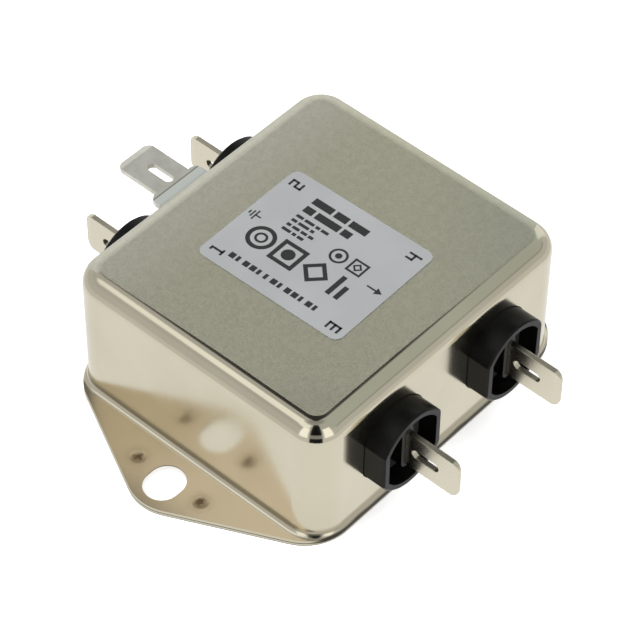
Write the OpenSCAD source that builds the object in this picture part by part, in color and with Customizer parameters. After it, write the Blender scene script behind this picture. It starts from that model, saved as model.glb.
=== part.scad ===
// Chassis-mount mains line filter in a deep-drawn metal can.
// Frame: the origin is midway between the two mounting slots on the underside.
// +X runs along the mounting slots, +Y towards the line side, +Z up through the label.

/* [Can] */
// Length of the can along X, outside the walls
case_l = 50.2; // [42:0.1:62]
// Width of the can along Y, outside the walls
case_w = 45; // [37.5:0.1:54]
// Height from the underside of the base plate to the top of the can
case_h = 22.3; // [18.5:0.1:28]
// Thickness of the can's sheet
can_t = 0.5; // [0.4:0.05:0.8]
// Outside radius of the can's four upright corners
corner_r = 4.7; // [4:0.1:6]
// Outside radius of the edge round the top
top_r = 2.8; // [1.2:0.1:3]

/* [Mounting flange] */
// Thickness of the base plate welded under the flange
plate_t = 0.5; // [0.4:0.05:1]
// Width of the narrow rim in front of the walls
rim_w = 0.45; // [0.3:0.05:2]
// Radius of the fillet where the wall meets the flange
foot_r = 0.9; // [0.4:0.05:1.2]
// Radius of the flange outline beside the can's corners
flange_r = 7.5; // [6:0.1:9]
// Distance from the can's end wall back to the start of that radius
flange_inset = 5.2; // [4.5:0.1:7]
// How far each ear reaches beyond the can's end wall
ear_out = 10; // [9.8:0.05:14]
// Radius of the tip of each ear
ear_tip_r = 7; // [6:0.1:9]
// Distance from the can's end wall to the centre of a mounting slot
slot_out = 5.6; // [4.8:0.05:5.8]
// Width of a mounting slot
slot_w = 5.3; // [4.3:0.1:5.6]
// Length of a mounting slot from end to end
slot_l = 6.3; // [5.6:0.1:7]
// Distance from the can's end wall to the spot welds
weld_out = 4.7; // [4:0.1:6]
// Distance between the two spot welds of an ear
weld_pitch = 11.6; // [11:0.1:16]

/* [Terminals] */
// Distance between the two terminals of a side
tab_pitch = 21; // [19.5:0.1:24]
// Radius of the round flanks of a terminal shroud
shroud_r = 6.4; // [6:0.05:6.8]
// Distance across the flats of a terminal shroud
shroud_flats = 11.4; // [10.4:0.1:12.4]
// How far a shroud stands out of the wall
shroud_out = 3.55; // [3.4:0.05:6]
// Wall of a shroud round its cavity
shroud_wall = 1; // [0.8:0.05:1.3]
// Depth of a shroud's cavity
cavity_depth = 3; // [2:0.1:3.4]
// How far the boss round the tab stays below the shroud's mouth
boss_drop = 1; // [0.5:0.1:1.6]
// Thickness of the boss round the tab
boss_t = 2.2; // [1.8:0.1:3]
// How far a load tab stands out of the wall
load_tab_out = 11.5; // [10:0.1:14]
// How far a line tab stands out of the wall
line_tab_out = 11.2; // [10:0.1:14]
// Width of a tab
tab_w = 6.3; // [4.8:0.1:6.6]
// Thickness of a tab
tab_t = 0.8; // [0.5:0.05:1]
// Length of the slot in a tab
tab_slot_l = 4.5; // [3.4:0.1:5]
// Radius of a tab's two outer corners
tab_corner_r = 1.2; // [0.6:0.1:1.6]
// Width of the slot in a tab
tab_slot_w = 1.5; // [1.2:0.1:2]
// Distance from a tab's tip to the near end of its slot
tab_slot_from_tip = 3.3; // [2.4:0.1:4]

/* [Earth terminal] */
// How far the earth tab stands out of the line-side wall
earth_out = 12.6; // [11.8:0.1:16]
// Distance from the can's top to the middle of the earth tab
earth_drop = 5.8; // [5:0.1:6.6]
// Width of the earth tab's foot and shoulder
foot_w = 9.4; // [7.6:0.1:9.8]
// Inside radius of the bend between the earth tab and its foot
bend_r = 2; // [1:0.1:2.4]
// Distance from the wall to the outer end of the shoulder
shoulder_out = 4.75; // [4:0.05:5.5]
// Diameter of the rivet's shank
rivet_d = 3.2; // [2.4:0.1:3.6]

/* [Label] */
// Size of the label along X
label_l = 20.5; // [15:0.1:30]
// Size of the label along Y
label_w = 24.8; // [15:0.1:28]
// Thickness of the label film
label_t = 0.1; // [0.05:0.01:0.2]
// Angle by which the label sits askew
label_tilt = 1; // [0:0.1:2]

/* [Inner parts] */
// Diameter of the winding wire
wire_d = 0.9; // [0.6:0.05:1]
// Number of turns of each winding
turns = 11; // [6:1:14]
// Height of the choke's core case
core_case_h = 8; // [6:0.1:9]
// Wall of the choke's core case
core_case_wall = 0.7; // [0.5:0.05:1]
// Radius of the hole through the core case
core_hole_r = 5.04; // [4.2:0.01:5.6]
// Length of a mains capacitor along X
x_cap_l = 17.6; // [14:0.1:17.8]
// Thickness of a mains capacitor along Y
x_cap_t = 5; // [4:0.1:5.4]
// Diameter of an earth capacitor's disc
y_cap_d = 7.5; // [6:0.1:8]
// Thickness of an earth capacitor's disc
y_cap_t = 3.4; // [2.4:0.1:4]
// Depth of the casting resin below the can's top
resin_depth = 7.5; // [5:0.1:8]
// Thickness of the insulating card on the base plate
card_t = 0.25; // [0.15:0.05:0.5]

/* [Hidden] */
$fn = 72;

// Colours
nickel = [0.80, 0.78, 0.70];
plated = [0.80, 0.77, 0.69];
black = [0.09, 0.09, 0.09];
film = [0.69, 0.70, 0.71];
ferrite = [0.22, 0.22, 0.23];
nylon = [0.86, 0.84, 0.76];
copper = [0.72, 0.40, 0.20];
cap_yellow = [0.86, 0.68, 0.20];
cap_blue = [0.20, 0.36, 0.62];
resin = [0.20, 0.19, 0.18];
card = [0.72, 0.62, 0.44];

// Clearances
window_gap = 0.1;
slot_fit = 0.05;
resin_gap = 0.1;
case_fit = 0.1;
cut = 0.1;

// Can and flange
inner_l = case_l - 2 * can_t;
inner_w = case_w - 2 * can_t;
inner_r = corner_r - can_t;
inner_top_r = top_r - can_t;
inner_top = case_h - can_t;
flange_top = plate_t + can_t;
slot_x = case_l / 2 + slot_out;
weld_x = case_l / 2 + weld_out;
weld_dent_r = 1.2;
weld_dent = 0.12;

// Terminals: u runs outward from the outer face of the wall
tab_rise = -0.15;
tab_z = case_h / 2 + tab_rise;
back_t = 1.5;
back_lip = 1.2;
lip_gap = 0.2;
lip_up = case_h - top_r - tab_z - lip_gap;
stub_l = 1.5;
stub_t = 4;
stub_w = tab_w + 2.7;
boss_w = tab_w + 1.5;
mouth_chamfer = 0.25;
tip_bevel = 1;
shoulder_l = 1.2;
shoulder_w = tab_w + 2.1;
stub_u = -(can_t + back_t + stub_l);
shoulder_u = stub_u - slot_fit;
tail_u = shoulder_u - shoulder_l;
tail_l = 4.35;
tail_w = 2.6;
tail_v = -2.2;
eye_w = 1.4;
wire_u = tail_u - 1.2;
x_lead_u = wire_u - 0.95;
y_lead_u = x_lead_u - 0.9;
lead_z = tab_z + tail_v;
lead_d = 0.6;
lead_past = 0.8;

// Earth terminal
earth_z = case_h - earth_drop;
rivet_r = rivet_d / 2;
rivet_fit = 0.05;
rivet_head_r = rivet_r + 1.2;
rivet_head_h = 1.3;
rivet_clinch_r = rivet_r + 1;
rivet_clinch_h = 0.9;
rivet_z = earth_z + tab_t / 2 - bend_r - tab_t - rivet_head_r - 0.1;
foot_round_r = 1.3;
tag_t = 0.5;
tag_r = rivet_r + 1.6;
tag_tail_w = 3.6;
tag_eye_x = 0.9;
tag_eye_z = 4.2;
tag_below = 1;

// Inner parts
top_skin = 0.8;
seat_z = inner_top - top_skin;
x_cap_y = case_w / 2 + x_lead_u;
x_cap_z = lead_z + 1.1;
x_cap_pitch = 15;
choke_gap = 1.5;
winding_t = wire_d + 0.2;
winding_r = x_cap_y - x_cap_t / 2 - choke_gap;
core_case_r = winding_r - winding_t;
winding_fit = 0.05;
choke_z = seat_z - winding_t - core_case_h / 2;
winding_span = 118;
turn_gap = 0.35;
divider_t = 1;
winding_lead_x = 13.2;
winding_lead_z = lead_z - 2.45;
winding_start_a = 45;
y_cap_x = 17;
y_cap_pitch = 5;
y_cap_y = case_w / 2 + y_lead_u - y_cap_pitch / 2;
y_cap_z = seat_z - y_cap_d / 2;
y_lead_run_y = inner_w / 2 - back_t - 0.65;
resistor_d = 2.4;
resistor_l = 6.4;
resistor_lead_d = 0.5;
resistor_z = lead_z - 0.65;
resin_z = inner_top - resin_depth;
card_gap = 0.5;

// ---- Shared shapes ----

module rounded_rect(l, w, r) {
  square([l - 2 * r, w], center = true);
  square([l, w - 2 * r], center = true);
  for (sx = [-1, 1], sy = [-1, 1])
    translate([sx * (l / 2 - r), sy * (w / 2 - r)]) circle(r = r);
}

module stadium(l, w) {
  square([l - w, w], center = true);
  for (s = [-1, 1]) translate([s * (l - w) / 2, 0]) circle(d = w);
}

module double_d(r, flats) {
  intersection() {
    circle(r = r);
    square([flats, 2 * r + 1], center = true);
  }
}

// Sweeps a section in (r, z) round a rounded rectangle whose corner centres are l by w apart
module sweep_rect(l, w) {
  for (sx = [0, 1], sy = [0, 1])
    mirror([sx, 0, 0]) mirror([0, sy, 0])
      translate([l / 2, w / 2, 0]) rotate_extrude(angle = 90) children();
  for (s = [0, 1]) mirror([s, 0, 0])
    translate([l / 2, w / 2, 0]) rotate([90, 0, 0]) linear_extrude(w) children();
  for (s = [0, 1]) mirror([0, s, 0])
    translate([-l / 2, w / 2, 0]) rotate([90, 0, 90]) linear_extrude(l) children();
}

// Round wire along points joined by runs that are each parallel to an axis
module wire(points, d) {
  for (i = [0 : len(points) - 2]) {
    a = points[i];
    b = points[i + 1];
    run = b - a;
    translate(a)
      rotate(run.x != 0 ? [0, sign(run.x) * 90, 0]
           : run.y != 0 ? [-sign(run.y) * 90, 0, 0]
           : [run.z > 0 ? 0 : 180, 0, 0])
        cylinder(d = d, h = norm(run));
    if (i > 0) translate(a) sphere(d = d);
  }
}

// ---- Can, flange and base plate ----

// Unit normal of the outer tangent from circle (a, ra) to circle (b, rb), on the left of a-b
function tangent_normal(a, ra, b, rb) =
  let (d = b - a, c = (ra - rb) / norm(d), s = sqrt(1 - c * c), u = d / norm(d))
  [c * u.x - s * u.y, c * u.y + s * u.x];

ear_c = [-(case_l / 2 + ear_out - ear_tip_r), 0];
flange_c = [-(case_l / 2 - flange_inset), case_w / 2 + rim_w - flange_r];
ear_n = tangent_normal(ear_c, ear_tip_r, flange_c, flange_r);

// Plate of thickness t with the whole outline of the flange and its ears
module flange_plate(t) {
  side = flange_c + [0, flange_r];
  for (sx = [0, 1], sy = [0, 1])
    mirror([sx, 0, 0]) mirror([0, sy, 0]) linear_extrude(t) {
      polygon([ear_c, ear_c + ear_tip_r * ear_n, flange_c + flange_r * ear_n, flange_c]);
      polygon([ear_c, flange_c, side, [0, side.y], [0, 0]]);
      translate(flange_c) circle(r = flange_r);
      translate(ear_c) circle(r = ear_tip_r);
    }
}

// Both ears' slots
module mounting_slots() {
  for (s = [-1, 1]) translate([s * slot_x, 0]) stadium(slot_l, slot_w);
}

// Shallow round dents that the welding electrode leaves in a face at height z, above or below it
module weld_dents(z, up) {
  ball_r = (weld_dent_r * weld_dent_r + weld_dent * weld_dent) / (2 * weld_dent);
  for (sx = [-1, 1], sy = [-1, 1])
    translate([sx * weld_x, sy * weld_pitch / 2, z]) intersection() {
      translate([0, 0, up * (ball_r - weld_dent)]) sphere(r = ball_r);
      cylinder(r = 2 * weld_dent_r, h = 3 * weld_dent, center = true);
    }
}

// Section of the can's sheet from the flange up the wall and over the top edge
module can_section() {
  straight_z = plate_t + can_t + foot_r;
  difference() {
    union() {
      translate([0, inner_top]) square([corner_r - top_r, can_t]);
      translate([corner_r - top_r, case_h - top_r]) intersection() {
        circle(r = top_r);
        square(top_r);
      }
      translate([inner_r, straight_z]) square([can_t, case_h - top_r - straight_z]);
      translate([corner_r + foot_r, straight_z]) rotate(180) intersection() {
        circle(r = foot_r + can_t);
        square(foot_r + can_t);
      }
    }
    translate([corner_r - top_r, case_h - top_r]) circle(r = inner_top_r);
    translate([corner_r + foot_r, straight_z]) circle(r = foot_r);
  }
}

module terminal_places() {
  for (s = [-1, 1], side = [-1, 1]) at_terminal(s, side) children();
}

// Moves a terminal from its own frame (x, height, outward) to its place in the wall
module at_terminal(s, side) {
  translate([s * tab_pitch / 2, side * case_w / 2, tab_z])
    rotate([90, 0, side > 0 ? 180 : 0]) children();
}

module rivet_axis() {
  translate([0, case_w / 2, rivet_z]) rotate([-90, 0, 0]) children();
}

module can() {
  color(nickel) difference() {
    union() {
      intersection() {
        sweep_rect(case_l - 2 * corner_r, case_w - 2 * corner_r) can_section();
        flange_plate(case_h + cut);
      }
      translate([0, 0, inner_top]) linear_extrude(can_t)
        square([case_l - 2 * corner_r, case_w - 2 * corner_r], center = true);
      translate([0, 0, plate_t]) difference() {
        flange_plate(can_t);
        translate([0, 0, -cut]) linear_extrude(can_t + 2 * cut)
          rounded_rect(case_l + 2 * foot_r, case_w + 2 * foot_r, corner_r + foot_r);
      }
    }
    translate([0, 0, plate_t - cut]) linear_extrude(can_t + 2 * cut) mounting_slots();
    weld_dents(flange_top, 1);
    terminal_places() translate([0, 0, -can_t - cut])
      linear_extrude(can_t + 2 * cut) double_d(shroud_r + window_gap, shroud_flats + 2 * window_gap);
    rivet_axis() translate([0, 0, -can_t - cut]) cylinder(r = rivet_r + rivet_fit, h = can_t + 2 * cut);
  }
}

module base_plate() {
  color(nickel) difference() {
    flange_plate(plate_t);
    translate([0, 0, -cut]) linear_extrude(plate_t + 2 * cut) mounting_slots();
    weld_dents(0, -1);
  }
}

module label() {
  label_r = 1.8;
  askew = [-0.75, -0.15];
  color(film) translate([askew.x, askew.y, case_h]) rotate(label_tilt)
    linear_extrude(label_t) rounded_rect(label_l, label_w, label_r);
}

// ---- Terminals ----

// Moulded shroud with a cavity round the tab, a boss in it and a lip behind the wall
module shroud() {
  floor_u = shroud_out - cavity_depth;
  color(black) difference() {
    union() {
      difference() {
        intersection() {
          translate([0, 0, -can_t]) linear_extrude(shroud_out + can_t)
            square([shroud_flats, 2 * shroud_r + 1], center = true);
          rotate_extrude() polygon([
            [0, -can_t], [shroud_r, -can_t], [shroud_r, shroud_out - mouth_chamfer],
            [shroud_r - mouth_chamfer, shroud_out], [0, shroud_out]]);
          rotate([90, 0, 0]) translate([0, 0, -shroud_r - 1]) linear_extrude(2 * shroud_r + 2) polygon([
            [-shroud_flats / 2, -can_t], [shroud_flats / 2, -can_t],
            [shroud_flats / 2, shroud_out - mouth_chamfer],
            [shroud_flats / 2 - mouth_chamfer, shroud_out],
            [-shroud_flats / 2 + mouth_chamfer, shroud_out],
            [-shroud_flats / 2, shroud_out - mouth_chamfer]]);
        }
        translate([0, 0, floor_u]) linear_extrude(cavity_depth + cut)
          double_d(shroud_r - shroud_wall, shroud_flats - 2 * shroud_wall);
      }
      translate([0, 0, floor_u - cut]) linear_extrude(cavity_depth - boss_drop + cut)
        rotate(90) stadium(boss_w, boss_t);
      translate([0, 0, -can_t - back_t]) linear_extrude(back_t) intersection() {
        double_d(shroud_r + back_lip, shroud_flats + 2 * back_lip);
        square([2 * shroud_r + 2 * back_lip, 2 * lip_up], center = true);
      }
      translate([0, 0, stub_u]) linear_extrude(stub_l)
        rounded_rect(stub_t, stub_w, 1);
    }
    translate([0, 0, stub_u - cut]) linear_extrude(shroud_out - stub_u)
      square([tab_t + 2 * slot_fit, tab_w + 2 * slot_fit], center = true);
  }
}

// Flat outline of a blade pointing along +X, from x = 0 to its tip, with its slot
module blade_outline(length) {
  slot_c = length - tab_slot_from_tip - tab_slot_l / 2;
  difference() {
    union() {
      translate([0, -tab_w / 2]) square([length - tab_corner_r, tab_w]);
      translate([0, -tab_w / 2 + tab_corner_r]) square([length, tab_w - 2 * tab_corner_r]);
      for (s = [-1, 1])
        translate([length - tab_corner_r, s * (tab_w / 2 - tab_corner_r)]) circle(r = tab_corner_r);
    }
    translate([slot_c, 0]) stadium(tab_slot_l, tab_slot_w);
  }
}

// Lengthwise section of a blade, thinned towards its tip
module blade_bevel(from, to) {
  half = tab_t / 2;
  polygon([[from, -half], [to - tip_bevel, -half], [to, -half / 2], [to, half / 2],
           [to - tip_bevel, half], [from, half]]);
}

// Line or load tab with a stop shoulder and an eyed solder tail behind the shroud
module tab(out) {
  tail_end = tail_u - tail_l;
  eye_c = (wire_u + y_lead_u) / 2;
  eye_l = wire_u - y_lead_u + eye_w;
  color(plated) rotate([0, -90, 0]) intersection() {
    translate([0, 0, -tab_t]) linear_extrude(2 * tab_t) difference() {
      union() {
        translate([shoulder_u, 0]) blade_outline(out - shoulder_u);
        translate([tail_u, -shoulder_w / 2]) square([shoulder_l, shoulder_w]);
        translate([tail_end, tail_v - tail_w / 2]) square([tail_l, tail_w]);
      }
      translate([eye_c, tail_v]) stadium(eye_l, eye_w);
    }
    rotate([90, 0, 0]) translate([0, 0, -shoulder_w]) linear_extrude(2 * shoulder_w)
      blade_bevel(tail_end, out);
  }
}

// Earth tab: blade and shoulder, a bend, and a round-ended foot riveted to the wall
module earth_tab() {
  wall_y = case_w / 2;
  bend_y = wall_y + tab_t + bend_r;
  bend_z = earth_z + tab_t / 2 - tab_t - bend_r;
  blade_l = wall_y + earth_out - bend_y;
  neck = shoulder_out - tab_t - bend_r;
  color(plated) difference() {
    union() {
      translate([0, bend_y, earth_z]) rotate(90) intersection() {
        translate([0, 0, -tab_t]) linear_extrude(2 * tab_t) {
          blade_outline(blade_l);
          translate([0, -foot_w / 2]) square([neck - foot_round_r, foot_w]);
          translate([0, -foot_w / 2 + foot_round_r]) square([neck, foot_w - 2 * foot_round_r]);
          for (s = [-1, 1])
            translate([neck - foot_round_r, s * (foot_w / 2 - foot_round_r)]) circle(r = foot_round_r);
        }
        rotate([90, 0, 0]) translate([0, 0, -foot_w]) linear_extrude(2 * foot_w) blade_bevel(0, blade_l);
      }
      translate([-foot_w / 2, bend_y, bend_z]) rotate([90, 0, 90]) rotate(90)
        rotate_extrude(angle = 90) translate([bend_r, 0]) square([tab_t, foot_w]);
      translate([0, wall_y + tab_t, 0]) rotate([90, 0, 0]) linear_extrude(tab_t) {
        translate([-foot_w / 2, rivet_z]) square([foot_w, bend_z - rivet_z]);
        translate([0, rivet_z]) circle(d = foot_w);
      }
    }
    rivet_axis() translate([0, 0, -cut]) cylinder(r = rivet_r + rivet_fit, h = tab_t + 2 * cut);
  }
}

// Rivet through the earth tab's foot, the wall and the tag inside
module earth_rivet() {
  dome_r = (rivet_head_r * rivet_head_r + rivet_head_h * rivet_head_h) / (2 * rivet_head_h);
  color(plated) rivet_axis() {
    translate([0, 0, -can_t - tag_t - cut]) cylinder(r = rivet_r, h = can_t + tag_t + tab_t + 2 * cut);
    intersection() {
      translate([0, 0, tab_t]) cylinder(r = rivet_head_r, h = rivet_head_h);
      translate([0, 0, tab_t + rivet_head_h - dome_r]) sphere(r = dome_r);
    }
    translate([0, 0, -can_t - tag_t - rivet_clinch_h]) cylinder(r = rivet_clinch_r, h = rivet_clinch_h);
  }
}

// Solder tag under the rivet inside the can
module earth_tag() {
  tail_z = tag_eye_z - tag_below;
  color(plated) translate([0, inner_w / 2, 0]) rotate([90, 0, 0]) linear_extrude(tag_t) difference() {
    union() {
      translate([0, rivet_z]) circle(r = tag_r);
      translate([-tag_tail_w / 2, tail_z]) square([tag_tail_w, rivet_z - tail_z]);
    }
    translate([0, rivet_z]) circle(r = rivet_r + rivet_fit);
    for (s = [-1, 1]) translate([s * tag_eye_x, tag_eye_z]) circle(d = lead_d + 0.4);
  }
}

// ---- Inner parts ----

module insulating_card() {
  l = inner_l - 2 * card_gap;
  w = inner_w - 2 * card_gap;
  color(card) translate([0, 0, plate_t]) linear_extrude(card_t) rounded_rect(l, w, inner_r - card_gap);
}

// Resin cast against the can's top, with the space that each part takes in it
module casting_resin() {
  seat_h = seat_z + resin_gap - resin_z + cut;
  tail_h = tail_l + shoulder_l + stub_l + 2 * resin_gap;
  l = inner_l - 2 * inner_r;
  w = inner_w - 2 * inner_r;
  edge = inner_r - resin_gap;
  cast_top = inner_top - resin_gap;
  color(resin) difference() {
    union() {
      sweep_rect(l, w) {
        translate([0, resin_z]) square([edge, inner_top - inner_top_r - resin_z]);
        translate([0, inner_top - inner_top_r]) square([edge - inner_top_r, inner_top_r - resin_gap]);
        translate([edge - inner_top_r, inner_top - inner_top_r]) intersection() {
          circle(r = inner_top_r - resin_gap);
          square(inner_top_r);
        }
      }
      translate([0, 0, resin_z]) linear_extrude(cast_top - resin_z) square([l, w], center = true);
    }
    translate([0, 0, resin_z - cut]) cylinder(r = winding_r + resin_gap, h = seat_h);
    for (s = [-1, 1]) {
      translate([0, s * x_cap_y, resin_z - cut]) linear_extrude(seat_h)
        square([x_cap_l + 2 * resin_gap, x_cap_t + 2 * resin_gap], center = true);
      translate([s * y_cap_x, y_cap_y, 0]) rotate([0, 90, 0])
        linear_extrude(y_cap_t + 2 * resin_gap, center = true) {
          translate([-y_cap_z, 0]) circle(d = y_cap_d + 2 * resin_gap);
          translate([-y_cap_z, -y_cap_d / 2 - resin_gap])
            square([y_cap_z - resin_z + cut, y_cap_d + 2 * resin_gap]);
        }
    }
    terminal_places() {
      translate([0, 0, -can_t - back_t - resin_gap]) linear_extrude(back_t + 3 * resin_gap)
        double_d(shroud_r + back_lip + resin_gap, shroud_flats + 2 * (back_lip + resin_gap));
      translate([0, 0, tail_u - tail_l - resin_gap]) linear_extrude(tail_h)
        square([stub_t + 2 * resin_gap, max(stub_w, shoulder_w) + 2 * resin_gap], center = true);
    }
    rivet_axis() translate([0, 0, -can_t - tag_t - rivet_clinch_h - resin_gap])
      cylinder(r = tag_r + resin_gap, h = tag_t + rivet_clinch_h + 3 * resin_gap);
  }
}

module ring(outer_r, inner_r, h) {
  linear_extrude(h) difference() {
    circle(r = outer_r);
    circle(r = inner_r);
  }
}

module core() {
  color(ferrite) translate([0, 0, choke_z - core_case_h / 2 + core_case_wall + case_fit])
    ring(core_case_r - core_case_wall - case_fit, core_hole_r + core_case_wall + case_fit,
         core_case_h - 2 * (core_case_wall + case_fit));
}

// Ring-shaped tray, open upwards
module core_case() {
  tray_h = core_case_h - core_case_wall;
  color(nylon) translate([0, 0, choke_z - core_case_h / 2]) difference() {
    ring(core_case_r, core_hole_r, tray_h);
    translate([0, 0, core_case_wall])
      ring(core_case_r - core_case_wall, core_hole_r + core_case_wall, tray_h);
  }
}

module core_case_lid() {
  color(nylon) translate([0, 0, choke_z + core_case_h / 2 - core_case_wall])
    ring(core_case_r, core_hole_r, core_case_wall);
}

// Box in (r, z) that stands off the core case by t all round
module around_case(t) {
  translate([core_hole_r - t, -core_case_h / 2 - t])
    square([core_case_r - core_hole_r + 2 * t, core_case_h + 2 * t]);
}

// Winding on one half of the ring, with a lead to the line tab and one to the load tab
module winding(s) {
  pitch = winding_span / turns;
  r = (core_case_r + winding_r) / 2 - 0.6;
  start_z = choke_z - core_case_h / 2 - winding_t / 2;
  start = [s * r * cos(winding_start_a), r * sin(winding_start_a), start_z];
  wire_y = case_w / 2 + wire_u;
  color(copper) {
    translate([0, 0, choke_z]) rotate((s > 0 ? 0 : 180) - winding_span / 2) difference() {
      rotate_extrude(angle = winding_span) difference() {
        around_case(winding_t);
        around_case(winding_fit);
      }
      for (i = [1 : turns - 1])
        rotate([90, 0, i * pitch]) linear_extrude(turn_gap, center = true) difference() {
          around_case(winding_t + cut);
          around_case(winding_t - wire_d / 3);
        }
    }
    for (side = [-1, 1])
      wire([[start.x, side * start.y, start.z],
            [start.x, side * start.y, winding_lead_z],
            [s * winding_lead_x, side * start.y, winding_lead_z],
            [s * winding_lead_x, side * wire_y, winding_lead_z],
            [s * winding_lead_x, side * wire_y, lead_z],
            [s * (tab_pitch / 2 - lead_past), side * wire_y, lead_z]], wire_d);
  }
}

// Plate across the ring's hole that keeps the windings apart
module winding_divider() {
  half = core_hole_r - case_fit;
  color(nylon) translate([-divider_t / 2, -half + 0.1, choke_z - core_case_h / 2])
    cube([divider_t, 2 * half - 0.2, core_case_h]);
}

// Box-shaped film capacitor with its two leads through the tails of a side's tabs
module x_capacitor(side) {
  color(cap_yellow) {
    translate([-x_cap_l / 2, side * x_cap_y - x_cap_t / 2, x_cap_z])
      cube([x_cap_l, x_cap_t, seat_z - x_cap_z]);
    for (s = [-1, 1])
      wire([[s * x_cap_pitch / 2, side * x_cap_y, x_cap_z + 0.5],
            [s * x_cap_pitch / 2, side * x_cap_y, lead_z],
            [s * (tab_pitch / 2 + lead_past), side * x_cap_y, lead_z]], lead_d);
  }
}

// Disc capacitor from a line tab to the earth tag
module y_capacitor(s) {
  to_tab = y_cap_y + y_cap_pitch / 2;
  to_earth = y_cap_y - y_cap_pitch / 2;
  color(cap_blue) {
    translate([s * y_cap_x, y_cap_y, y_cap_z]) rotate([0, 90, 0])
      cylinder(d = y_cap_d, h = y_cap_t, center = true);
    wire([[s * y_cap_x, to_tab, y_cap_z - 1],
          [s * y_cap_x, to_tab, lead_z],
          [s * (tab_pitch / 2 - lead_past), to_tab, lead_z]], lead_d);
    wire([[s * y_cap_x, to_earth, y_cap_z - 1],
          [s * y_cap_x, to_earth, tag_eye_z],
          [s * y_cap_x, y_lead_run_y, tag_eye_z],
          [s * tag_eye_x, y_lead_run_y, tag_eye_z],
          [s * tag_eye_x, inner_w / 2 - 0.1, tag_eye_z]], lead_d);
  }
}

// Resistor that discharges the capacitors, soldered beside the load capacitor's leads
module bleed_resistor() {
  color(nylon) translate([0, -x_cap_y, resistor_z]) rotate([0, 90, 0]) {
    cylinder(d = resistor_d, h = resistor_l, center = true);
    cylinder(d = resistor_lead_d, h = tab_pitch - tab_t - 1.2, center = true);
  }
}

can();
base_plate();
label();
at_terminal(-1, -1) shroud();  // shroud_load_1
at_terminal(1, -1) shroud();  // shroud_load_2
at_terminal(-1, 1) shroud();  // shroud_line_1
at_terminal(1, 1) shroud();  // shroud_line_2
at_terminal(-1, -1) tab(load_tab_out);  // tab_load_1
at_terminal(1, -1) tab(load_tab_out);  // tab_load_2
at_terminal(-1, 1) tab(line_tab_out);  // tab_line_1
at_terminal(1, 1) tab(line_tab_out);  // tab_line_2
earth_tab();
earth_rivet();
earth_tag();
insulating_card();
casting_resin();
core();
core_case();
core_case_lid();
winding(-1);  // winding_1
winding(1);  // winding_2
winding_divider();
x_capacitor(1);  // x_capacitor_line
x_capacitor(-1);  // x_capacitor_load
y_capacitor(-1);  // y_capacitor_1
y_capacitor(1);  // y_capacitor_2
bleed_resistor();
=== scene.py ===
import math
import bmesh
import bpy
from mathutils import Matrix, Vector


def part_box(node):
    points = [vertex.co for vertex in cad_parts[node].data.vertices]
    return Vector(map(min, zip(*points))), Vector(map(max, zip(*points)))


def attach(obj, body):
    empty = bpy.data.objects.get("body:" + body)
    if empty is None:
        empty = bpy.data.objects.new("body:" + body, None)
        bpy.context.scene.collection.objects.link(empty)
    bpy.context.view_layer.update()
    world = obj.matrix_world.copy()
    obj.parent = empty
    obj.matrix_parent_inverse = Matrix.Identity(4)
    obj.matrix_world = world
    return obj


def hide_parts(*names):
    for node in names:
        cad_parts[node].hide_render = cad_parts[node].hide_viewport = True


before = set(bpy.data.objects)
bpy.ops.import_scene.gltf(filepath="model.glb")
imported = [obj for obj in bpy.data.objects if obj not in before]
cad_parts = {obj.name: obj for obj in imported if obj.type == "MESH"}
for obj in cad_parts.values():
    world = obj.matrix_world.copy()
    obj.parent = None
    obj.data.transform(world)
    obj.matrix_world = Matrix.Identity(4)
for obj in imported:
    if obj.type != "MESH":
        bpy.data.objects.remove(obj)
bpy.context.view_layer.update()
MM = 0.001
scene = bpy.context.scene
scene.view_settings.view_transform = "Standard"


# ---------------------------------------------------------------- camera
def set_camera():
    # place, direction and lens as fitted to the photo
    az, el, roll = math.radians(-48.8828), math.radians(48.0023), math.radians(0.8844)
    back = Vector((math.sin(az) * math.cos(el), -math.cos(az) * math.cos(el), math.sin(el)))
    right = Vector((0, 0, 1)).cross(back).normalized()
    up = back.cross(right)
    r = math.cos(roll) * right + math.sin(roll) * up
    u = math.cos(roll) * up - math.sin(roll) * right
    cam = bpy.data.objects.new("camera", bpy.data.cameras.new("camera"))
    scene.collection.objects.link(cam)
    at = Vector((-205.637, -179.865, 311.772)) * MM
    cam.matrix_world = Matrix(((r.x, u.x, back.x, at.x), (r.y, u.y, back.y, at.y),
                               (r.z, u.z, back.z, at.z), (0, 0, 0, 1)))
    cam.data.sensor_width = 36
    cam.data.lens = 167.46
    cam.data.clip_start, cam.data.clip_end = 0.01, 20
    scene.camera = cam


set_camera()


# ---------------------------------------------------------------- node helper
DEGREES = 57.29578  # in one radian
BEHIND = (0.753, 0.658)  # direction on the floor from the camera's side through the object


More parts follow.
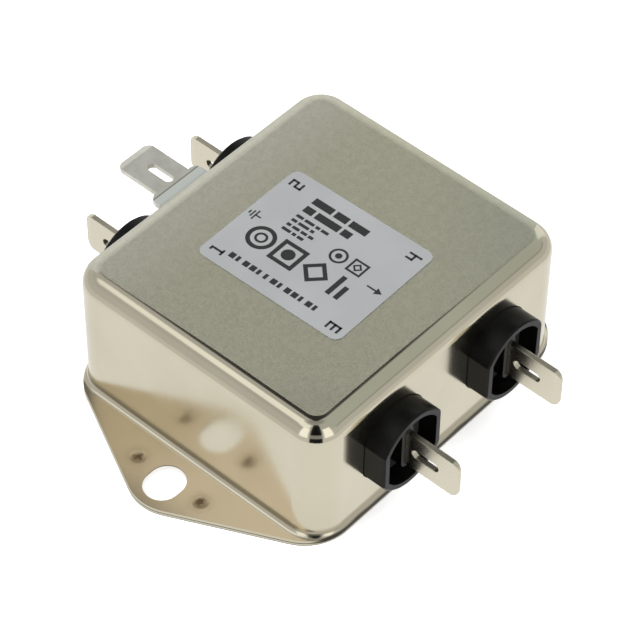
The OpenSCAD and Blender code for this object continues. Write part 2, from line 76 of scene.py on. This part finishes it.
class Nodes:
    """Short names for building a node tree. Values may be numbers, colours or sockets."""

    def __init__(self, tree):
        self.t = tree
        tree.nodes.clear()

    def new(self, kind, **sockets):
        n = self.t.nodes.new(kind)
        self.put(n, **sockets)
        return n

    def put(self, n, **sockets):
        for k, v in sockets.items():
            numbered = k[0] == "i" and k[1:].isdigit()
            self.link(v, n.inputs[int(k[1:]) if numbered else k.replace("_", " ")])

    def link(self, v, socket):
        if isinstance(v, bpy.types.NodeSocket):
            self.t.links.new(v, socket)
        elif isinstance(v, (tuple, list)) and len(v) == 3 and len(getattr(socket, "default_value", ())) == 4:
            socket.default_value = (*v, 1)
        else:
            socket.default_value = v

    def math(self, op, a, b=0.0):
        n = self.new("ShaderNodeMath", i0=a, i1=b)
        n.operation = op
        return n.outputs[0]

    def add(self, a, b):
        return self.math("ADD", a, b)

    def sub(self, a, b):
        return self.math("SUBTRACT", a, b)

    def absolute(self, a):
        return self.math("ABSOLUTE", a)

    def mul(self, a, b):
        return self.math("MULTIPLY", a, b)

    def length(self, v):
        n = self.new("ShaderNodeVectorMath", i0=v)
        n.operation = "LENGTH"
        return n.outputs["Value"]

    def distance(self, x, y, point):
        return self.length(self.join(self.sub(x, point[0]), self.sub(y, point[1])))

    def scaled(self, v, factors):
        n = self.new("ShaderNodeVectorMath", i0=v, i1=factors)
        n.operation = "MULTIPLY"
        return n.outputs["Vector"]

    def mix(self, f, a, b):
        """Colour a where f is 0, colour b where it is 1."""
        n = self.new("ShaderNodeMix")
        n.data_type = "RGBA"
        for i, v in ((0, f), (6, a), (7, b)):
            self.link(v, n.inputs[i])
        return n.outputs[2]

    def lerp(self, f, a, b):
        """Value a where f is 0, value b where it is 1."""
        n = self.new("ShaderNodeMix")
        for i, v in ((0, f), (2, a), (3, b)):
            self.link(v, n.inputs[i])
        return n.outputs[0]

    def step(self, x, lo, hi, a=0.0, b=1.0):
        """A smooth step from a to b as x goes from lo to hi; lo may be the greater."""
        n = self.new("ShaderNodeMapRange", i0=x, i1=lo, i2=hi, i3=a, i4=b)
        n.interpolation_type = "SMOOTHSTEP"
        return n.outputs[0]

    def line(self, x, at, half, core):
        """1 where x is within core of at, falling to 0 at half from it."""
        return self.step(self.absolute(self.sub(x, at)), half, core)

    def noise(self, v, scale, detail=2.0, rough=0.5, stretch=None):
        if stretch:
            v = self.scaled(v, stretch)
        n = self.new("ShaderNodeTexNoise", Vector=v, Scale=scale, Detail=detail, Roughness=rough)
        return n.outputs[0]

    def place(self):
        return self.new("ShaderNodeTexCoord").outputs["Object"]

    def split(self, v):
        n = self.new("ShaderNodeSeparateXYZ", Vector=v)
        return n.outputs

    def join(self, x, y, z=0.0):
        return self.new("ShaderNodeCombineXYZ", i0=x, i1=y, i2=z).outputs[0]

    def normal(self):
        return self.new("ShaderNodeNewGeometry").outputs["Normal"]

    def round_edges(self, radius):
        return self.new("ShaderNodeBevel", Radius=radius).outputs[0]

    def bearing(self, x, y):
        """Degrees round from straight behind the object in its main view, plus towards -X+Y."""
        bx, by = BEHIND
        a = self.math("ARCTAN2", self.add(self.mul(x, -by), self.mul(y, bx)),
                      self.add(self.mul(x, bx), self.mul(y, by)))
        return self.mul(a, DEGREES)

    def patch(self, az, el, a0, a1, e0, e1, soft=2.0):
        """1 in a field of the sky between two bearings and two heights, in degrees."""
        a = self.mul(self.step(az, a0 - soft, a0 + soft), self.step(az, a1 + soft, a1 - soft))
        e = self.mul(self.step(el, e0 - soft, e0 + soft), self.step(el, e1 + soft, e1 - soft))
        return self.mul(a, e)

    def bump(self, height, depth, normal=None):
        n = self.new("ShaderNodeBump", Strength=1.0, Distance=depth, Height=height)
        if normal is not None:
            self.link(normal, n.inputs["Normal"])
        return n.outputs[0]


def material(name, build, **fixed):
    m = bpy.data.materials.new(name)
    m.use_nodes = True
    n = Nodes(m.node_tree)
    bsdf = n.new("ShaderNodeBsdfPrincipled")
    for k, v in fixed.items():
        n.link(v, bsdf.inputs[k.replace("_", " ")])
    for k, v in build(n).items():
        n.link(v, bsdf.inputs[k.replace("_", " ")])
    n.new("ShaderNodeOutputMaterial", Surface=bsdf.outputs[0])
    return m


def dress(node, m):
    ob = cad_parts[node]
    ob.data.materials.clear()
    ob.data.materials.append(m)


# ---------------------------------------------------------------- materials
def metal(tint, rough, shoulder=False):
    grain, edge = 0.02, 0.15 * MM

    def build(n):
        p = n.place()
        fine = n.noise(p, 5200, 2)
        cloud = n.noise(p, 90, 3)
        dark = tuple(c * 0.94 for c in tint)
        colour = n.mix(cloud, dark, tint)
        if shoulder:
            # worn film on the blade, and at its root a painted highlight on the bend between two thin
            # painted shadow lines
            _, y, _ = n.split(p)
            film = n.step(n.noise(p, 420, 4, 0.6), 0.42, 0.62)
            colour = n.mix(n.mul(film, 0.5), colour, (0.62, 0.60, 0.53))
            root = n.step(y, 0.0268, 0.0264)
            colour = n.mix(root, colour, (0.86, 0.89, 0.84))
            for at, wide in ((0.0246, 0.00026), (0.0266, 0.00016)):
                line = n.line(y, at, wide, wide * 0.3)
                colour = n.mix(n.mul(line, 0.7), colour, (0.16, 0.15, 0.12))
        return {"Base_Color": colour,
                "Roughness": n.add(n.step(cloud, 0.3, 0.7, rough - 0.03, rough + 0.04), n.mul(fine, grain)),
                "Normal": n.bump(fine, 0.000004, n.round_edges(edge))}
    return build


# where features lie on the can and its base plate, in metres
TOP_FROM = 0.015  # the flat top and its rounded edges are above this
SHEETS_TO = 0.0012  # the flange and the base plate are below this
SHEET_SEAM = 0.0005  # height at which the two meet
FRONT_CORNER = (-0.0251, -0.0225)
SLOT_AT = (0.0307, 0.0)  # on both ears
SLOT_REACH = 0.0038
WELD_AT = (0.0298, 0.0058)  # on both ears and both sides of the slot


def can_look(n):
    p = n.place()
    x, y, z = n.split(p)
    nx, ny, nz = n.split(n.normal())
    ax, ay = n.absolute(x), n.absolute(y)
    flat = n.step(nz, 0.985, 0.9995)
    high = n.math("GREATER_THAN", z, TOP_FROM)
    low = n.math("LESS_THAN", z, SHEETS_TO)
    # the satin finish runs over the edges that face +X and +Y and stops at the near ones
    corner = n.distance(x, y, FRONT_CORNER)
    lip = n.step(corner, 0.006, 0.050, 0.9985, 0.9890)
    away = n.math("MAXIMUM", n.add(ny, n.mul(nx, 0.5)), 0.0)
    top = n.mul(n.step(n.add(nz, n.mul(away, 0.7)), lip, n.add(lip, 0.002)), high)
    ear = n.mul(flat, low)
    rim = n.mul(n.step(n.absolute(nz), 0.5, 0.3), low)
    foot = n.mul(n.step(z, 0.0026, 0.0016), n.mul(n.step(nz, 0.62, 0.45), n.step(z, 0.00102, 0.0011)))
    grain = n.noise(p, 3600, 3, 0.6)
    weave = n.noise(p, 900, 3, 0.6)
    cloud = n.noise(p, 70, 3)
    drawn = n.noise(p, 260, 3, 0.5, stretch=(1, 1, 0.06))
    tint = n.mix(n.step(cloud, 0.3, 0.7), (0.605, 0.56, 0.435), (0.645, 0.60, 0.47))
    # satin top, with painted light and shade: lighter towards the line side, darker towards the load side's
    # +X end
    speck = n.step(n.add(n.mul(grain, 0.6), n.mul(weave, 0.4)), 0.35, 0.65)
    light = n.mix(speck, (0.61, 0.595, 0.495), (0.70, 0.685, 0.58))
    shaded_satin = n.mix(speck, (0.475, 0.475, 0.38), (0.55, 0.55, 0.44))
    satin = n.mix(speck, (0.54, 0.525, 0.405), (0.625, 0.61, 0.48))
    satin = n.mix(n.step(y, 0.008, 0.0225), satin, light)
    satin = n.mix(n.step(n.sub(x, y), 0.016, 0.044), satin, shaded_satin)
    tint = n.mix(top, tint, satin)
    # ears, with painted light that makes them paler towards the load side, and painted shade in the hollow
    # where the wall rises from the flange
    ear_painted_light = n.step(n.add(y, n.mul(n.sub(cloud, 0.5), 0.02)), 0.018, -0.012)
    tint = n.mix(ear, tint, n.mix(ear_painted_light, (0.60, 0.515, 0.37), (0.80, 0.705, 0.575)))
    tint = n.mix(n.mul(foot, 0.6), tint, (0.22, 0.18, 0.12))
    # cut edges of the two sheets, with a dark line at the seam between them and a painted shadow line along
    # their foot on the floor
    seam_and_floor_shade = n.math("MAXIMUM", n.line(z, SHEET_SEAM, 0.00012, 0.00005), n.step(z, 0.00016, 0.00008))
    tint = n.mix(n.mul(rim, n.mul(seam_and_floor_shade, 0.85)), tint, (0.05, 0.045, 0.03))
    # painted reflection and shade in the slots: near-white walls under a dark upper edge
    hole = n.math("LESS_THAN", n.distance(ax, y, SLOT_AT), SLOT_REACH)
    painted_slot_wall = n.mix(n.step(z, 0.00075, 0.00092), (0.97, 0.95, 0.90), (0.08, 0.07, 0.05))
    tint = n.mix(n.mul(rim, hole), tint, painted_slot_wall)
    # painted shade: dark strip along the load side's long edge
    painted_edge_shade = n.mul(n.step(ny, -0.70, -0.90, 0.0, 0.97), n.math("LESS_THAN", y, -0.02))
    painted_edge_shade = n.mul(painted_edge_shade, n.step(z, 0.00018, 0.00034))
    tint = n.mix(n.mul(rim, painted_edge_shade), tint, (0.03, 0.025, 0.015))
    # spots that the weld leaves on the ears
    d = n.distance(ax, ay, WELD_AT)
    d = n.add(d, n.mul(n.sub(n.noise(p, 1500, 3, 0.6), 0.5), 0.0014))
    halo = n.mul(n.step(d, 0.0024, 0.0006), low)
    burn = n.mul(n.step(d, 0.0010, 0.0003), low)
    tint = n.mix(n.mul(halo, 0.35), tint, (0.38, 0.28, 0.16))
    tint = n.mix(n.mul(burn, 0.85), tint, (0.15, 0.095, 0.045))
    # satin top, lightly drawn walls, and polished edges, the -X one duller towards the line side
    rough = n.lerp(top, n.step(drawn, 0.3, 0.7, 0.15, 0.20), n.step(grain, 0.3, 0.7, 0.42, 0.52))
    rough = n.lerp(ear, rough, n.step(cloud, 0.3, 0.7, 0.20, 0.28))
    rough = n.lerp(n.math("MAXIMUM", burn, rim), rough, 0.45)
    curve = n.mul(n.mul(n.step(nz, 0.10, 0.25), n.sub(1.0, flat)), high)
    worn = n.mul(n.step(nx, -0.02, -0.06), n.step(y, -0.014, 0.018))
    rough = n.lerp(n.mul(curve, n.sub(1.0, top)), rough, n.lerp(worn, 0.10, 0.17))
    height = n.add(n.mul(grain, top), n.mul(n.mul(weave, top), 0.6))
    height = n.add(height, n.mul(n.mul(drawn, n.sub(1.0, flat)), 0.5))
    return {"Base_Color": tint, "Roughness": rough, "Normal": n.bump(height, 0.000006)}


def film_look(n):
    p = n.place()
    fibre = n.noise(p, 2600, 3)
    cloud = n.step(n.noise(p, 120, 2), 0.3, 0.7)
    return {"Base_Color": n.mix(cloud, (0.305, 0.312, 0.316), (0.33, 0.337, 0.341)),
            "Roughness": n.step(fibre, 0.3, 0.7, 0.45, 0.55),
            "Normal": n.bump(fibre, 0.000003)}


def moulded(n):
    p = n.place()
    fine = n.noise(p, 2400, 4, 0.6)
    cloud = n.noise(p, 260, 3)
    # painted reflection: faces that look along +Y or -Y are painted a lighter grey, and are also rougher
    front = n.step(n.absolute(n.split(n.normal())[1]), 0.9, 0.98)
    side = n.mix(cloud, (0.0025, 0.0025, 0.002), (0.005, 0.005, 0.0045))
    return {"Base_Color": n.mix(front, side, (0.045, 0.045, 0.045)),
            "Roughness": n.lerp(front, n.step(cloud, 0.3, 0.7, 0.28, 0.36), 0.5),
            "Specular_IOR_Level": 0.14,
            "Normal": n.bump(fine, 0.000008, n.round_edges(0.00012))}


def plain(colour, rough, scale=900.0, depth=0.00002):
    def build(n):
        p = n.place()
        g = n.noise(p, scale, 3)
        return {"Base_Color": n.mix(g, tuple(c * 0.85 for c in colour), colour),
                "Roughness": n.step(g, 0.3, 0.7, rough - 0.05, rough + 0.05),
                "Normal": n.bump(g, depth)}
    return build


can_metal = material("can_metal", can_look, Metallic=1.0)
tab_metal = material("tab_metal", metal((0.70, 0.655, 0.525), 0.26), Metallic=1.0)
earth_metal = material("earth_metal", metal((0.78, 0.77, 0.70), 0.42, shoulder=True), Metallic=1.0)
rivet_metal = material("rivet_metal", metal((0.64, 0.62, 0.56), 0.22), Metallic=1.0)
black_plastic = material("black_plastic", moulded)
label_film = material("label_film_look", film_look)

dress("can", can_metal)
dress("base_plate", can_metal)
for side in ("load", "line"):
    for k in (1, 2):
        dress(f"shroud_{side}_{k}", black_plastic)
        dress(f"tab_{side}_{k}", tab_metal)
dress("earth_tab", earth_metal)
dress("earth_rivet", rivet_metal)
dress("earth_tag", material("tag_metal", metal((0.60, 0.56, 0.44), 0.3), Metallic=1.0))
dress("insulating_card", material("card_look", plain((0.34, 0.24, 0.11), 0.5)))
dress("casting_resin", material("resin_look", plain((0.010, 0.009, 0.008), 0.25)))
dress("core", material("ferrite_look", plain((0.012, 0.012, 0.013), 0.6)))
nylon = material("nylon_look", plain((0.62, 0.57, 0.44), 0.42))
for node in ("core_case", "core_case_lid", "winding_divider"):
    dress(node, nylon)
copper = material("enamel_look", plain((0.42, 0.12, 0.035), 0.22, 500.0), Metallic=0.8)
dress("winding_1", copper)
dress("winding_2", copper)
box_case = material("box_case_look", plain((0.62, 0.36, 0.04), 0.38))
dress("x_capacitor_line", box_case)
dress("x_capacitor_load", box_case)
disc = material("disc_look", plain((0.02, 0.07, 0.26), 0.25))
dress("y_capacitor_1", disc)
dress("y_capacitor_2", disc)
dress("bleed_resistor", material("resistor_look", plain((0.36, 0.27, 0.17), 0.5)))


# ---------------------------------------------------------------- label
def prism(bm, outline, z0, z1):
    """Closed prism over an outline given as points that run counter-clockwise."""
    low = [bm.verts.new((x, y, z0)) for x, y in outline]
    high = [bm.verts.new((x, y, z1)) for x, y in outline]
    bm.faces.new(low[::-1])
    bm.faces.new(high)
    for i in range(len(outline)):
        j = (i + 1) % len(outline)
        bm.faces.new((low[i], low[j], high[j], high[i]))


def band(bm, outer, inner, z0, z1):
    """Closed prism between two outlines with as many points each."""
    corners = ((outer, z0), (outer, z1), (inner, z1), (inner, z0))
    rings = [[bm.verts.new((x, y, z)) for x, y in line] for line, z in corners]
    k = len(outer)
    for a in range(4):
        for i in range(k):
            j = (i + 1) % k
            b = (a + 1) % 4
            bm.faces.new((rings[a][i], rings[a][j], rings[b][j], rings[b][i]))


def arc_points(cu, cv, r, a0=0.0, a1=360.0, steps=48):
    span = steps if a1 - a0 >= 360 else steps + 1
    return [(cu + r * math.cos(math.radians(a0 + (a1 - a0) * i / steps)),
             cv + r * math.sin(math.radians(a0 + (a1 - a0) * i / steps))) for i in range(span)]


def round_box(w, h, r):
    pts = []
    a, b = w / 2 - r, h / 2 - r
    for k, (cu, cv) in enumerate(((a, b), (-a, b), (-a, -b), (a, -b))):
        pts += arc_points(cu, cv, r, 90 * k, 90 * k + 90, 10)
    return pts


class Print:
    """Printed shapes on the label, in millimetres: u runs along the reading direction, v up the page."""

    def __init__(self, z0, z1):
        self.bm, self.z = bmesh.new(), (z0, z1)

    def shape(self, pts):
        prism(self.bm, pts, *self.z)

    def bar(self, u, v, w, h):
        self.shape([(u, v), (u + w, v), (u + w, v + h), (u, v + h)])

    def words(self, u, v, h, lengths, gap=0.45):
        """A line of text stood for by plain bars."""
        for w in lengths:
            self.bar(u, v, w, h)
            u += w + gap

    def ring(self, cu, cv, r, t):
        band(self.bm, arc_points(cu, cv, r), arc_points(cu, cv, r - t), *self.z)

    def frame(self, cu, cv, w, h, t, turn=0.0):
        c, s = math.cos(math.radians(turn)), math.sin(math.radians(turn))

        def outline(a, b):
            corners = ((a, b), (-a, b), (-a, -b), (a, -b))
            return [(cu + c * x - s * y, cv + s * x + c * y) for x, y in corners]

        band(self.bm, outline(w / 2, h / 2), outline(w / 2 - t, h / 2 - t), *self.z)

    def digit(self, n, u, v, h):
        """A plain digit, 1 to 4, of strokes, a quarter turn round from the page; its foot is at (u, v)."""
        t, w = h * 0.16, h * 0.62
        strokes = {"stem": (w * 0.42, 0, t, h), "foot": (w * 0.1, 0, w * 0.85, t),
                   "flag": (w * 0.12, h - t, w * 0.4, t),
                   "top": (0, h - t, w, t), "mid": (0, h / 2 - t / 2, w, t), "low": (0, 0, w, t),
                   "ul": (0, h / 2, t, h / 2), "ur": (w - t, h / 2, t, h / 2),
                   "ll": (0, 0, t, h / 2), "lr": (w - t, 0, t, h / 2)}
        used = {1: "stem foot flag", 2: "top ur mid ll low", 3: "top ur mid lr low", 4: "ul ur mid lr"}
        for k in used[n].split():
            a, b, c, d = strokes[k]
            self.bar(u - b - d, v + a, d, c)

    def done(self, name, place):
        """Turns the page onto the label: u along -Y, v along +X."""
        for q in self.bm.verts:
            u, v, z = q.co
            q.co = place @ Vector((v * MM, -u * MM, z * MM))
        bmesh.ops.recalc_face_normals(self.bm, faces=self.bm.faces)
        me = bpy.data.meshes.new(name)
        self.bm.to_mesh(me)
        self.bm.free()
        ob = bpy.data.objects.new(name, me)
        scene.collection.objects.link(ob)
        return ob


# millimetres, but for the tilt
LABEL_W, LABEL_H, LABEL_R = 24.8, 20.5, 1.3  # along the reading direction, up the page, corners
LABEL_TILT = 1.0  # degrees
FILM_T = 0.075
INK_SINK = 0.005  # how far the print starts inside the film
INK_CLEAR = 0.004  # how far it stays below the CAD label's top
LEFT = -6.6  # where the lines of text begin


def make_label():
    low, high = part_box("label")
    z0, z1 = low[2] / MM, high[2] / MM
    middle = Matrix.Translation(((low[0] + high[0]) / 2, (low[1] + high[1]) / 2, 0))
    spot = middle @ Matrix.Rotation(math.radians(LABEL_TILT), 4, "Z")
    film = Print(z0, z0 + FILM_T)
    film.shape(round_box(LABEL_W, LABEL_H, LABEL_R))
    film = film.done("label_sheet", spot)
    film.data.materials.append(label_film)
    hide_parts("label")
    ink = Print(z0 + FILM_T - INK_SINK, z1 - INK_CLEAR)
    # heading and the lines below it
    ink.words(LEFT, 6.6, 1.25, (3.4, 2.2, 3.0))
    ink.words(LEFT, 4.7, 1.25, (1.6, 4.1, 1.5))
    lines = ((1.2, 1.6, 0.7, 1.2), (0.9, 1.8, 0.6), (0.7, 1.2, 1.0, 0.8), (1.5, 0.6, 1.0))
    for v, words in zip((3.4, 2.4, 1.4, 0.4), lines):
        ink.words(LEFT, v, 0.5, words, 0.3)
    # plain marks in place of symbols
    ink.ring(2.6, 1.6, 1.35, 0.34)
    ink.shape(arc_points(2.6, 1.6, 0.5))
    ink.frame(5.9, 1.6, 2.5, 2.5, 0.32)
    ink.frame(5.9, 1.6, 1.1, 1.1, 0.25, 45.0)
    ink.ring(-7.4, -2.7, 2.15, 0.62)
    ink.ring(-7.4, -2.7, 0.95, 0.35)
    ink.frame(-2.6, -2.7, 4.2, 4.2, 0.62)
    ink.shape(arc_points(-2.6, -2.7, 1.0))
    ink.frame(2.2, -2.7, 3.1, 3.1, 0.6, 45.0)
    ink.bar(5.4, -4.6, 0.75, 3.9)
    ink.bar(6.8, -4.6, 0.75, 2.6)
    # row of small squares along the foot
    for k, w in enumerate((0.9, 0.5, 0.9, 0.9, 0.5, 0.5, 0.9, 0.5, 0.9, 0.9, 0.5, 0.9, 0.5)):
        ink.bar(-8.6 + k * 1.22, -8.1, w, 0.95)
    # terminal numbers, the earth mark and the way from line to load
    ink.digit(1, -9.3, -8.9, 2.1)
    ink.digit(2, -9.3, 7.3, 2.1)
    ink.digit(3, 11.4, -9.2, 2.1)
    ink.digit(4, 11.4, 7.3, 2.1)
    for w, du in ((1.9, 0.0), (1.25, -0.5), (0.6, -1.0)):
        ink.bar(-10.9 + du, -w / 2, 0.22, w)
    ink.bar(-10.75, -0.11, 0.9, 0.22)
    ink.bar(8.9, -0.13, 1.5, 0.26)
    ink.shape([(10.4, -0.62), (11.4, 0.0), (10.4, 0.62)])
    ink = ink.done("label_print", spot)
    ink.data.materials.append(material("label_ink", plain((0.014, 0.014, 0.014), 0.5, 1800.0, 0.000004)))
    for ob in (film, ink):
        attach(ob, "root")


make_label()


# ---------------------------------------------------------------- studio
# levels of the room as the metal reflects it; bearings and heights below are in degrees
BACK = 1.25  # wall behind the object
NEAR = 1.0  # paper round the object
BOXES = 1.75  # two boxes beside the camera
HIGH_BOX = 1.50  # long box high on the -X side
DARK_FROM, DARK_TO = 160, 164  # bearings either way at which the camera's dark side sets in
PAPER_TO, ROOM_FROM = 0.066, 0.074  # metres from the middle, on the floor
DARK_TIP = (-0.0204, -0.0178)  # point on the floor from which the dark side spreads


def set_world():
    w = bpy.data.worlds.new("studio")
    w.use_nodes = True
    scene.world = w
    n = Nodes(w.node_tree)
    d = n.new("ShaderNodeTexCoord").outputs["Generated"]
    x, y, z = n.split(d)
    el = n.mul(n.math("ARCSINE", z), DEGREES)
    az = n.bearing(x, y)
    # walls, the bright one behind the object, and the ceiling
    level = n.lerp(n.step(el, 26, 34), 0.80, 0.72)
    level = n.lerp(n.patch(az, el, -45, 45, -5, 43, 4), level, BACK)
    level = n.lerp(n.step(el, 72, 80), level, 0.45)
    # dark gap above the bright wall, and a faint one that the load side's edge reflects
    level = n.lerp(n.patch(az, el, -21, 25, 43, 84, 4), level, 0.04)
    level = n.lerp(n.patch(az, el, -110, -60, 25, 31, 3), level, 0.50)
    level = n.lerp(n.patch(az, el, 66, 152, 46, 69), level, HIGH_BOX)
    for a0, a1 in ((131, 156), (-156, -129)):
        level = n.lerp(n.patch(az, el, a0, a1, -20, 48), level, BOXES)
    # the camera's side of the room is dark
    to_front = n.step(n.absolute(az), DARK_FROM, DARK_TO)
    level = n.lerp(n.mul(to_front, n.step(el, 78, 72)), level, n.step(el, 17, 21, 0.38, 0.012))
    cool = n.mix(n.patch(az, el, -120, -20, 30, 75, 3), (0.8, 0.8, 0.8), (0.745, 0.80, 0.775))
    lit = n.new("ShaderNodeBackground", Color=cool, Strength=level)
    # the camera itself sees plain white
    white = n.new("ShaderNodeBackground", Color=(1, 1, 1), Strength=1.0)
    ray = n.new("ShaderNodeLightPath")
    both = n.new("ShaderNodeMixShader", i0=ray.outputs["Is Camera Ray"],
                 i1=lit.outputs[0], i2=white.outputs[0])
    n.new("ShaderNodeOutputWorld", Surface=both.outputs[0])


def lamp(name, direction, distance, size, power):
    d = Vector(direction).normalized()
    light = bpy.data.lights.new(name, "AREA")
    light.shape, light.size, light.energy = "DISK", size, power
    ob = bpy.data.objects.new(name, light)
    ob.location = d * distance
    ob.rotation_mode = "QUATERNION"
    ob.rotation_quaternion = d.to_track_quat("Z", "Y")
    ob.visible_glossy = False
    scene.collection.objects.link(ob)


def set_floor():
    bm = bmesh.new()
    bmesh.ops.create_circle(bm, cap_ends=True, segments=96, radius=3.0)
    me = bpy.data.meshes.new("floor")
    bm.to_mesh(me)
    bm.free()
    ob = bpy.data.objects.new("floor", me)
    scene.collection.objects.link(ob)
    m = bpy.data.materials.new("floor")
    m.use_nodes = True
    n = Nodes(m.node_tree)
    px, py, _ = n.split(n.place())
    # in the metal's reflection the paper near the object is bright, and beyond it comes the room
    far = n.step(n.length(n.place()), PAPER_TO, ROOM_FROM)
    az = n.bearing(n.sub(px, DARK_TIP[0]), n.sub(py, DARK_TIP[1]))
    room = n.lerp(n.step(n.absolute(az), DARK_FROM, DARK_TO), 0.76, 0.015)
    bright = n.lerp(far, NEAR, room)
    diffuse = n.new("ShaderNodeBsdfDiffuse", Color=(0.8, 0.8, 0.8))
    glow = n.new("ShaderNodeEmission", Color=(1, 1, 1), Strength=0.62)
    none = n.new("ShaderNodeEmission", Color=(0, 0, 0), Strength=0.0)
    reflected = n.new("ShaderNodeEmission", Color=(1, 1, 1), Strength=bright)
    ray = n.new("ShaderNodeLightPath")
    lift = n.new("ShaderNodeMixShader", i0=ray.outputs["Is Camera Ray"],
                 i1=none.outputs[0], i2=glow.outputs[0])
    # this mix looks spare, but the renderer weighs the floor as a light by it, and the metal shows that
    pick = n.new("ShaderNodeMixShader", i0=ray.outputs["Is Glossy Ray"],
                 i1=lift.outputs[0], i2=reflected.outputs[0])
    seen = n.new("ShaderNodeAddShader", i0=diffuse.outputs[0], i1=pick.outputs[0])
    mirror = n.new("ShaderNodeMixShader", i0=ray.outputs["Is Glossy Ray"],
                   i1=seen.outputs[0], i2=reflected.outputs[0])
    n.new("ShaderNodeOutputMaterial", Surface=mirror.outputs[0])
    me.materials.append(m)


set_world()
set_floor()
lamp("key", (-0.8, 0.5, 1.1), 0.9, 0.5, 5.0)
lamp("fill", (0.7, -0.5, 1.2), 0.9, 0.6, 3.0)
